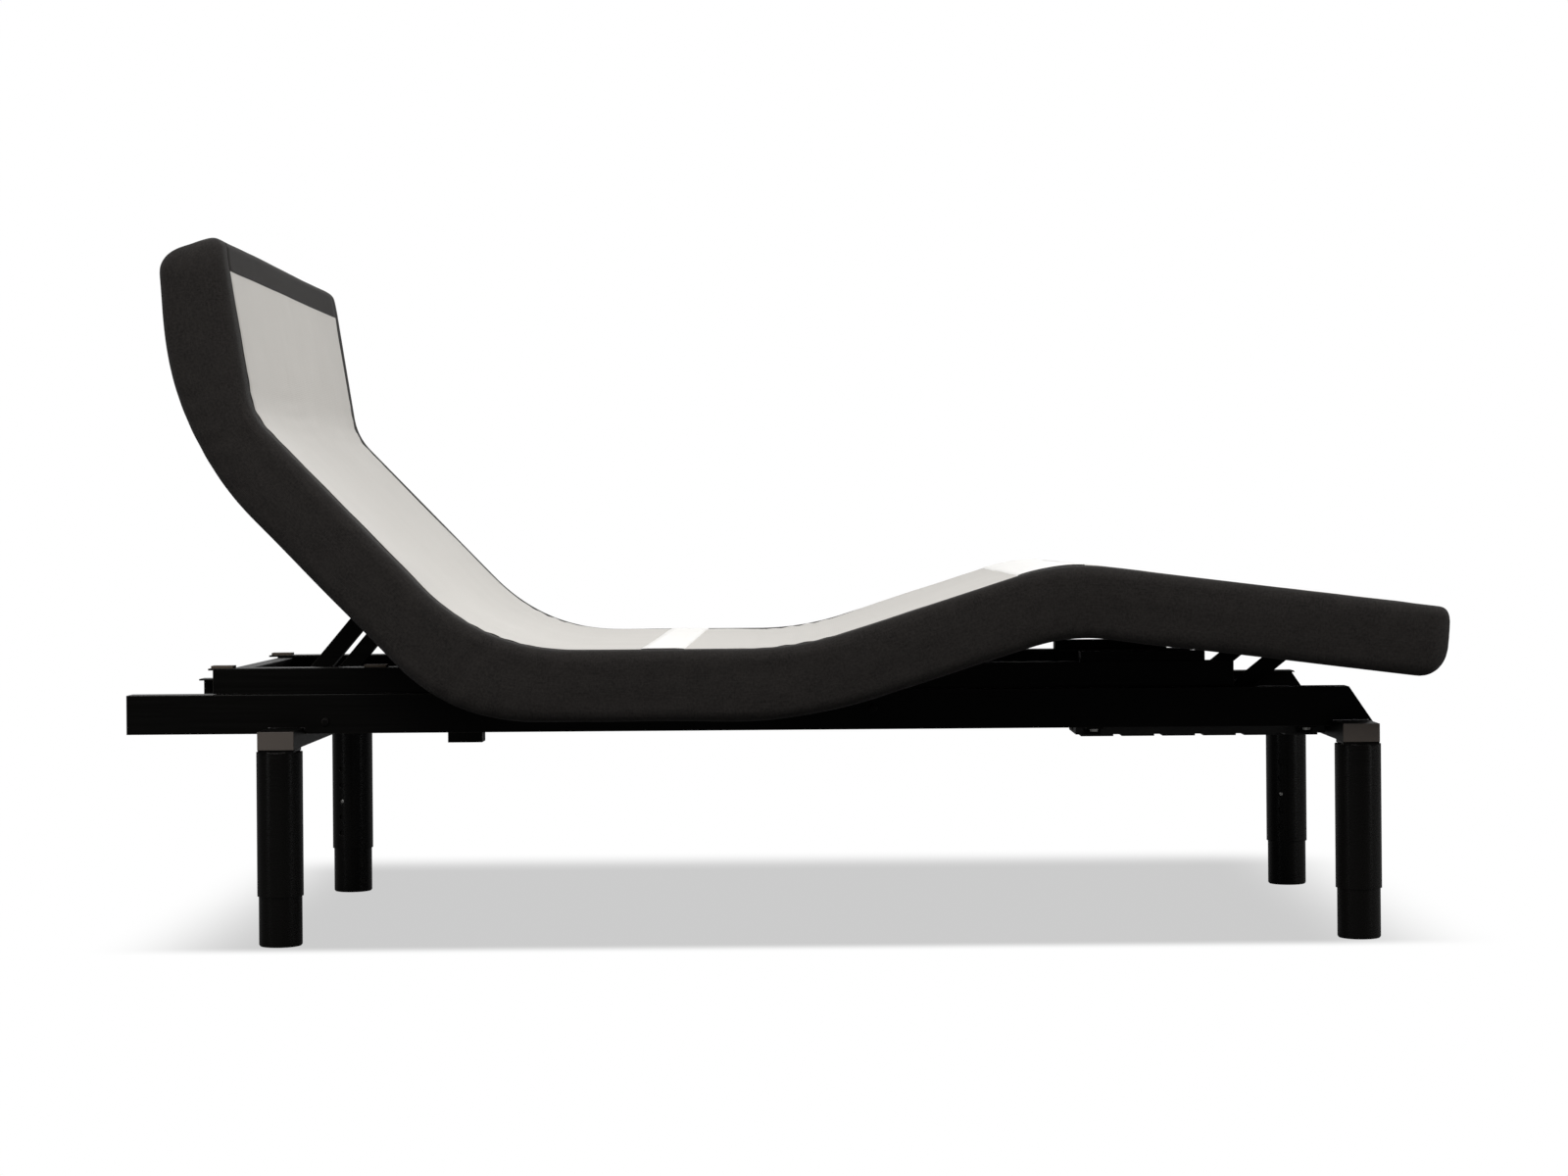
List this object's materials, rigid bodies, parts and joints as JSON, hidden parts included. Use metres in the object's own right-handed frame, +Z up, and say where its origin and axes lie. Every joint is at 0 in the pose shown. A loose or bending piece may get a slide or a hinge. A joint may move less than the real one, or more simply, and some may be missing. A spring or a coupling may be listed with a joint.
{
  "type": "adjustable bed base",
  "caption": "Padded articulated bed deck with head tilt, back, thigh and foot sections on a sliding steel carriage and telescopic legs.",
  "frame": {"origin": "on the floor under the middle of the whole part's box, in the pose of the picture", "axes": "+Z up, +X towards the foot end, +Y towards the far side"},
  "size_m": [1.8176, 0.965, 0.9755],
  "materials": {
    "black_steel": "satin black powder coat",
    "bright_steel": "zinc plated",
    "board": "plain plywood",
    "black_fabric": "woven upholstery",
    "grey_top": "non-woven cloth",
    "plug_plastic": "moulded plastic",
    "bumper_rubber": "brown rubber",
    "black_plastic": "moulded plastic",
    "roller_plastic": "nylon"
  },
  "bodies": {
    "base": {"base_rail_left": "black_steel", "base_rail_right": "black_steel", "cross_bar_head": "black_steel", "cross_bar_foot": "black_steel", "cross_bar_plugs": "plug_plastic", "rail_stops_and_bolts": "black_steel", "link_guides": "black_steel", "leg_tube_1": "black_steel", "leg_tube_2": "black_steel", "leg_tube_3": "black_steel", "leg_tube_4": "black_steel", "control_box": "black_plastic", "control_box_straps": "black_steel", "control_box_bolts": "bright_steel"},
    "carriage": {"carriage_rail_left": "black_steel", "carriage_rail_right": "black_steel", "carriage_cross_tubes": "black_steel", "rail_bumpers": "bumper_rubber", "deck_blocks": "black_steel", "roller_hangers": "black_steel", "actuator_brackets": "black_steel", "seat_frame": "black_steel", "seat_board": "board", "seat_pad": "grey_top", "seat_borders": "black_fabric", "hinge_pins": "bright_steel"},
    "back": {"back_frame": "black_steel", "back_horn": "black_steel", "back_board": "board", "back_pad": "grey_top", "back_borders": "black_fabric", "tilt_hinge_pins": "bright_steel"},
    "head": {"head_frame": "black_steel", "head_board": "board", "head_pad": "grey_top", "head_borders": "black_fabric"},
    "back_link": {"back_struts": "black_steel"},
    "thigh": {"thigh_frame": "black_steel", "thigh_horn": "black_steel", "thigh_board": "board", "thigh_pad": "grey_top", "thigh_borders": "black_fabric", "knee_hinge_pins": "bright_steel"},
    "foot": {"foot_frame": "black_steel", "foot_board": "board", "foot_pad": "grey_top", "foot_borders": "black_fabric"},
    "foot_link": {"foot_struts": "black_steel"},
    "back_motor": {"back_actuator": "black_plastic"},
    "back_ram": {"back_actuator_rod": "bright_steel"},
    "thigh_motor": {"thigh_actuator": "black_plastic"},
    "thigh_ram": {"thigh_actuator_rod": "bright_steel"},
    "roller_1": {"roller_1": "roller_plastic"},
    "inner_leg_1": {"leg_inner_1": "black_steel"},
    "roller_2": {"roller_2": "roller_plastic"},
    "inner_leg_2": {"leg_inner_2": "black_steel"},
    "roller_3": {"roller_3": "roller_plastic"},
    "inner_leg_3": {"leg_inner_3": "black_steel"},
    "roller_4": {"roller_4": "roller_plastic"},
    "inner_leg_4": {"leg_inner_4": "black_steel"}
  },
  "joints": [
    {"name": "back_lift", "type": "hinge", "parent": "carriage", "child": "back", "pos_m": [-0.393, 0, 0.3905], "axis": [0, 1, 0], "range_deg": [-46, 12]},
    {"name": "head_tilt", "type": "hinge", "parent": "back", "child": "head", "pos_m": [-0.71185, 0, 0.72068], "axis": [0, 1, 0], "range_deg": [-35, 0]},
    {"name": "thigh_lift", "type": "hinge", "parent": "carriage", "child": "thigh", "pos_m": [0.0393, 0, 0.3905], "axis": [0, -1, 0], "range_deg": [-17.7, 17.3]},
    {"name": "knee_bend", "type": "hinge", "parent": "thigh", "child": "foot", "pos_m": [0.39369, 0, 0.5036], "axis": [0, 1, 0], "range_deg": [-25, 25]},
    {"name": "carriage_slide", "type": "slide", "parent": "base", "child": "carriage", "axis": [-1, 0, 0], "range_m": [-0.1245, 0.0326]},
    {"name": "strut_swing", "type": "hinge", "parent": "back", "child": "back_link", "pos_m": [-0.55388, 0, 0.49232], "axis": [0, -1, 0], "range_deg": [-90, 25]},
    {"name": "foot_strut_swing", "type": "hinge", "parent": "carriage", "child": "foot_link", "pos_m": [0.638, 0, 0.32], "axis": [0, -1, 0], "range_deg": [-26, 26]},
    {"name": "back_motor_pivot", "type": "hinge", "parent": "carriage", "child": "back_motor", "pos_m": [-0.0345, 0.07, 0.308], "axis": [0, 1, 0], "range_deg": [-3, 3]},
    {"name": "back_ram_slide", "type": "slide", "parent": "back_motor", "child": "back_ram", "axis": [-0.9997, 0, 0.0239], "range_m": [-0.066, 0.018]},
    {"name": "thigh_motor_pivot", "type": "hinge", "parent": "carriage", "child": "thigh_motor", "pos_m": [-0.319, -0.07, 0.305], "axis": [0, -1, 0], "range_deg": [-2, 2]},
    {"name": "thigh_ram_slide", "type": "slide", "parent": "thigh_motor", "child": "thigh_ram", "axis": [0.9999, 0, 0.0117], "range_m": [-0.026, 0.026]},
    {"name": "roller_1_spin", "type": "hinge", "parent": "carriage", "child": "roller_1", "pos_m": [-0.497, -0.247, 0.31625], "axis": [0, -1, 0], "continuous": true},
    {"name": "leg_1_height", "type": "slide", "parent": "base", "child": "inner_leg_1", "axis": [0, 0, -1], "range_m": [0, 0.0508]},
    {"name": "roller_2_spin", "type": "hinge", "parent": "carriage", "child": "roller_2", "pos_m": [-0.497, 0.247, 0.31625], "axis": [0, -1, 0], "continuous": true},
    {"name": "leg_2_height", "type": "slide", "parent": "base", "child": "inner_leg_2", "axis": [0, 0, -1], "range_m": [0, 0.0508]},
    {"name": "roller_3_spin", "type": "hinge", "parent": "carriage", "child": "roller_3", "pos_m": [0.543, -0.247, 0.31625], "axis": [0, -1, 0], "continuous": true},
    {"name": "leg_3_height", "type": "slide", "parent": "base", "child": "inner_leg_3", "axis": [0, 0, -1], "range_m": [0, 0.0508]},
    {"name": "roller_4_spin", "type": "hinge", "parent": "carriage", "child": "roller_4", "pos_m": [0.543, 0.247, 0.31625], "axis": [0, -1, 0], "continuous": true},
    {"name": "leg_4_height", "type": "slide", "parent": "base", "child": "inner_leg_4", "axis": [0, 0, -1], "range_m": [0, 0.0508]}
  ],
  "couplings": [
    {"joint": "carriage_slide", "follows": "back_lift", "m_per_rad": 0.1547},
    {"joint": "knee_bend", "follows": "thigh_lift", "ratio": 1.407},
    {"joint": "strut_swing", "follows": "back_lift", "ratio": 1.93},
    {"joint": "foot_strut_swing", "follows": "thigh_lift", "ratio": 1.41},
    {"joint": "back_motor_pivot", "follows": "back_lift", "ratio": 0.05},
    {"joint": "back_ram_slide", "follows": "back_lift", "m_per_rad": 0.079068},
    {"joint": "thigh_motor_pivot", "follows": "thigh_lift", "ratio": 0.06},
    {"joint": "thigh_ram_slide", "follows": "thigh_lift", "m_per_rad": 0.080214},
    {"joint": "roller_1_spin", "follows": "back_lift", "ratio": 6.3401},
    {"joint": "roller_2_spin", "follows": "back_lift", "ratio": 6.3401},
    {"joint": "roller_3_spin", "follows": "back_lift", "ratio": 6.3401},
    {"joint": "roller_4_spin", "follows": "back_lift", "ratio": 6.3401}
  ]
}
